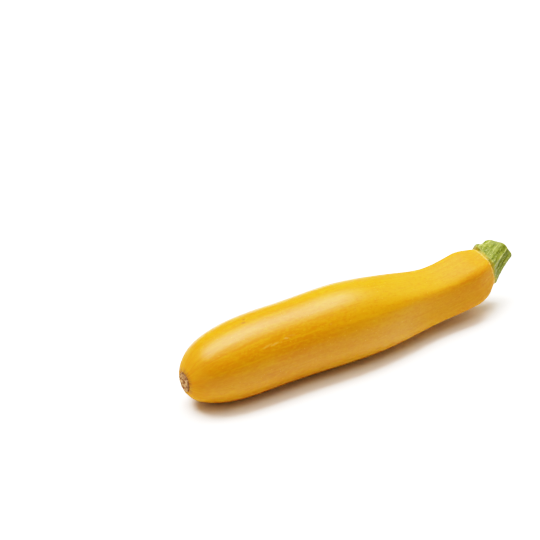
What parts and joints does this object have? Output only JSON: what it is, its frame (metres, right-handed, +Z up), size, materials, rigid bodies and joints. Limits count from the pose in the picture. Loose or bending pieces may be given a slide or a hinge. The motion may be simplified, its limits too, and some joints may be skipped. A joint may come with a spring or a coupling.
{
  "type": "yellow zucchini",
  "caption": "Whole yellow summer squash lying on its belly: a long slightly necked fruit with a cut ribbed green stem and a dry blossom scar; food prop.",
  "frame": {"origin": "on the surface it lies on, under the middle of its overall box", "axes": "+X along the fruit from the blossom end to the stem, +Z up, +Y to the far side as the picture sees it"},
  "size_m": [0.2162, 0.0439, 0.0429],
  "materials": {
    "skin": "smooth golden-yellow plant skin with a soft waxy shine and faint lengthwise streaks",
    "stem": "ribbed green plant stalk, matte, with paler ribs and short stiff hairs",
    "scar": "dry corky brown tissue, crinkled and matte"
  },
  "bodies": {
    "root": {"fruit": "skin", "stem": "stem", "blossom_scar": "scar"}
  },
  "joints": []
}
